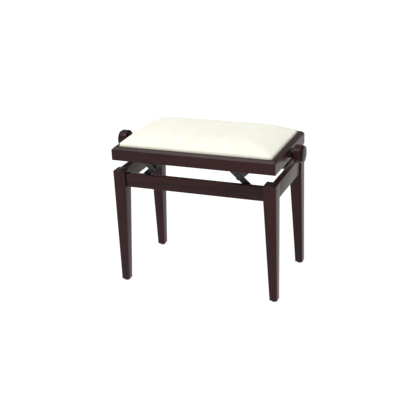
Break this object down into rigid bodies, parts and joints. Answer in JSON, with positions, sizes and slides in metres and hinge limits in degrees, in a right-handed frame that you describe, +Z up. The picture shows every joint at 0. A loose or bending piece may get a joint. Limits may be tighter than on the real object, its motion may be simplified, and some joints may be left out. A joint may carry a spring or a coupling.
{
  "type": "piano bench",
  "caption": "Rectangular bench with tapered wooden legs, a seat frame that rises on steel scissor arms when its end knobs turn, and a domed pale cushion.",
  "frame": {"origin": "on the floor, under the middle of the base", "axes": "+X along the bench to the right, +Y to the back, +Z up"},
  "size_m": [0.647, 0.321, 0.5105],
  "materials": {
    "dark_wood": "satin stained and lacquered beech",
    "plain_wood": "planed, unfinished",
    "black_steel": "black powder coat",
    "zinc_steel": "bright zinc plate",
    "nut_brass": "turned and milled",
    "glide_plastic": "moulded",
    "cover_cloth": "short pile velvet",
    "foam": "cut foam"
  },
  "bodies": {
    "base": {"leg_front_left": "dark_wood", "leg_front_right": "dark_wood", "leg_rear_left": "dark_wood", "leg_rear_right": "dark_wood", "base_rail_front": "dark_wood", "base_rail_rear": "dark_wood", "base_rail_left": "dark_wood", "base_rail_right": "dark_wood", "rail_dowels": "plain_wood", "glue_blocks": "dark_wood", "foot_glides": "glide_plastic", "base_brackets": "black_steel", "base_bracket_screws": "zinc_steel", "base_pivot_pins": "black_steel", "base_pin_rings": "black_steel"},
    "right_long_arms": {"long_arm_front_right": "black_steel", "long_arm_rear_right": "black_steel", "middle_bar_right": "black_steel", "middle_rings_right": "black_steel"},
    "right_short_arms": {"short_arm_front_right": "black_steel", "short_arm_rear_right": "black_steel"},
    "right_nut": {"spindle_nut_right": "nut_brass", "nut_rings_right": "black_steel"},
    "left_long_arms": {"long_arm_front_left": "black_steel", "long_arm_rear_left": "black_steel", "middle_bar_left": "black_steel", "middle_rings_left": "black_steel"},
    "left_short_arms": {"short_arm_front_left": "black_steel", "short_arm_rear_left": "black_steel"},
    "left_nut": {"spindle_nut_left": "nut_brass", "nut_rings_left": "black_steel"},
    "seat": {"seat_rail_front": "dark_wood", "seat_rail_rear": "dark_wood", "seat_rail_left": "dark_wood", "seat_rail_right": "dark_wood", "seat_corner_blocks": "dark_wood", "seat_brackets": "black_steel", "seat_bracket_screws": "zinc_steel", "seat_pivot_pins": "black_steel", "seat_pin_rings": "black_steel", "board_cleats": "plain_wood", "board_screws": "zinc_steel", "cushion_board": "plain_wood", "cushion_foam": "foam", "cushion_cover": "cover_cloth", "spindle_bushes": "black_steel"},
    "spindle": {"spindle": "zinc_steel", "spindle_collars": "zinc_steel", "thrust_washers": "zinc_steel", "knob_left": "dark_wood", "knob_right": "dark_wood", "knob_set_screws": "black_steel"}
  },
  "joints": [
    {"name": "lift", "type": "hinge", "parent": "base", "child": "right_long_arms", "pos_m": [0.2, 0, 0.357], "axis": [0, 1, 0], "range_deg": [-17.05, 29.4]},
    {"name": "right_short_pivot", "type": "hinge", "parent": "right_long_arms", "child": "right_short_arms", "pos_m": [0.14667, 0, 0.405], "axis": [0, 1, 0], "range_deg": [-59.8, 35.1]},
    {"name": "seat_pivot", "type": "hinge", "parent": "right_short_arms", "child": "seat", "pos_m": [0.2, 0, 0.453], "axis": [0, 1, 0], "range_deg": [-17.55, 29.9]},
    {"name": "right_nut_pivot", "type": "hinge", "parent": "right_long_arms", "child": "right_nut", "pos_m": [0.09334, 0, 0.453], "axis": [0, 1, 0], "range_deg": [-29.9, 17.55]},
    {"name": "left_long_pivot", "type": "hinge", "parent": "base", "child": "left_long_arms", "pos_m": [-0.2, 0, 0.357], "axis": [0, 1, 0], "range_deg": [-29.9, 17.55]},
    {"name": "left_short_pivot", "type": "hinge", "parent": "left_long_arms", "child": "left_short_arms", "pos_m": [-0.14667, 0, 0.405], "axis": [0, 1, 0], "range_deg": [-35.1, 59.8]},
    {"name": "left_nut_pivot", "type": "hinge", "parent": "left_long_arms", "child": "left_nut", "pos_m": [-0.09334, 0, 0.453], "axis": [0, 1, 0], "range_deg": [-17.55, 29.9]},
    {"name": "spindle_turn", "type": "hinge", "parent": "seat", "child": "spindle", "pos_m": [0, 0, 0.453], "axis": [1, 0, 0], "range_deg": [-1911.55, 3256.71]}
  ],
  "couplings": [
    {"joint": "right_short_pivot", "follows": "lift", "ratio": -2},
    {"joint": "seat_pivot", "follows": "lift", "ratio": 1},
    {"joint": "right_nut_pivot", "follows": "lift", "ratio": -1},
    {"joint": "left_long_pivot", "follows": "lift", "ratio": -1},
    {"joint": "left_short_pivot", "follows": "lift", "ratio": 2},
    {"joint": "left_nut_pivot", "follows": "lift", "ratio": 1},
    {"joint": "spindle_turn", "follows": "lift", "ratio": 108.92}
  ]
}
